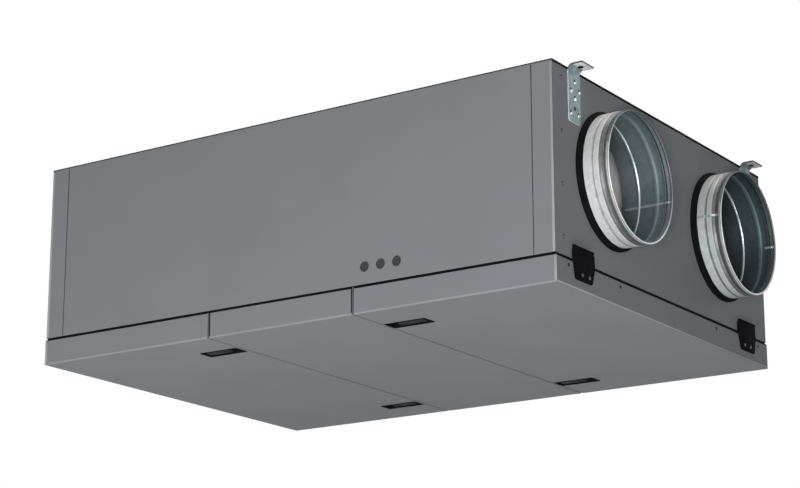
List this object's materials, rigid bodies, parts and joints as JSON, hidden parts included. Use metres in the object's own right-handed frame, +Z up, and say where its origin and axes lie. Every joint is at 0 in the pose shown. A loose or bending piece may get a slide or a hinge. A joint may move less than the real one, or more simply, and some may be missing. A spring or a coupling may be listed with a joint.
{
  "type": "supply and exhaust ventilation unit",
  "caption": "Flat ceiling-hung heat recovery ventilation unit: grey insulated case, round duct spigots on both ends, corner hanging brackets and hinged service doors on the underside.",
  "frame": {"origin": "centre of the hanging hole in the top face of the front bracket at the +X end, where a hanging rod passes", "axes": "+X along the unit's length towards the end with the nearer spigots, +Y from the front side with the cable grommets to the back, +Z up"},
  "size_m": [1.66, 1.0736, 0.527],
  "materials": {
    "casing": "satin",
    "galvanised": "satin",
    "rubber": "matte",
    "black_plastic": "matte",
    "lever_plastic": "satin",
    "filter_media": "matte",
    "aluminium": "satin"
  },
  "bodies": {
    "case": {"top_panel": "casing", "front_panel": "casing", "back_panel": "casing", "end_panel_right": "casing", "end_panel_left": "casing", "cross_rails": "galvanised", "door_seals": "rubber", "middle_pan": "casing", "middle_liner": "galvanised", "duct_spigots": "galvanised", "spigot_rings": "rubber", "hanging_brackets": "galvanised", "hinge_pins": "black_plastic", "cable_grommets": "rubber", "heat_exchanger": "aluminium", "partitions": "galvanised", "filter_right": "filter_media", "filter_left": "filter_media", "fan_plates": "galvanised", "fans": "aluminium"},
    "door_right": {"door_right_pan": "casing", "door_right_liner": "galvanised", "hinge_plates_right": "black_plastic", "latch_trays_right": "black_plastic"},
    "door_left": {"door_left_pan": "casing", "door_left_liner": "galvanised", "hinge_plates_left": "black_plastic", "latch_trays_left": "black_plastic"},
    "lever_front_right": {"latch_lever_front_right": "lever_plastic"},
    "lever_back_right": {"latch_lever_back_right": "lever_plastic"},
    "lever_front_left": {"latch_lever_front_left": "lever_plastic"},
    "lever_back_left": {"latch_lever_back_left": "lever_plastic"}
  },
  "joints": [
    {"name": "door_right_hinge", "type": "hinge", "parent": "case", "child": "door_right", "pos_m": [-0.016, 0.44, -0.428], "axis": [0, -1, 0], "range_deg": [0, 90]},
    {"name": "door_left_hinge", "type": "hinge", "parent": "case", "child": "door_left", "pos_m": [-1.524, 0.44, -0.428], "axis": [0, 1, 0], "range_deg": [0, 90]},
    {"name": "lever_front_right_hinge", "type": "hinge", "parent": "door_right", "child": "lever_front_right", "pos_m": [-0.459, 0.0435, -0.523], "axis": [0, -1, 0], "range_deg": [0, 70]},
    {"name": "lever_back_right_hinge", "type": "hinge", "parent": "door_right", "child": "lever_back_right", "pos_m": [-0.538, 0.8365, -0.523], "axis": [0, 1, 0], "range_deg": [0, 70]},
    {"name": "lever_front_left_hinge", "type": "hinge", "parent": "door_left", "child": "lever_front_left", "pos_m": [-1.094, 0.0435, -0.523], "axis": [0, 1, 0], "range_deg": [0, 70]},
    {"name": "lever_back_left_hinge", "type": "hinge", "parent": "door_left", "child": "lever_back_left", "pos_m": [-1.015, 0.8365, -0.523], "axis": [0, -1, 0], "range_deg": [0, 70]}
  ]
}
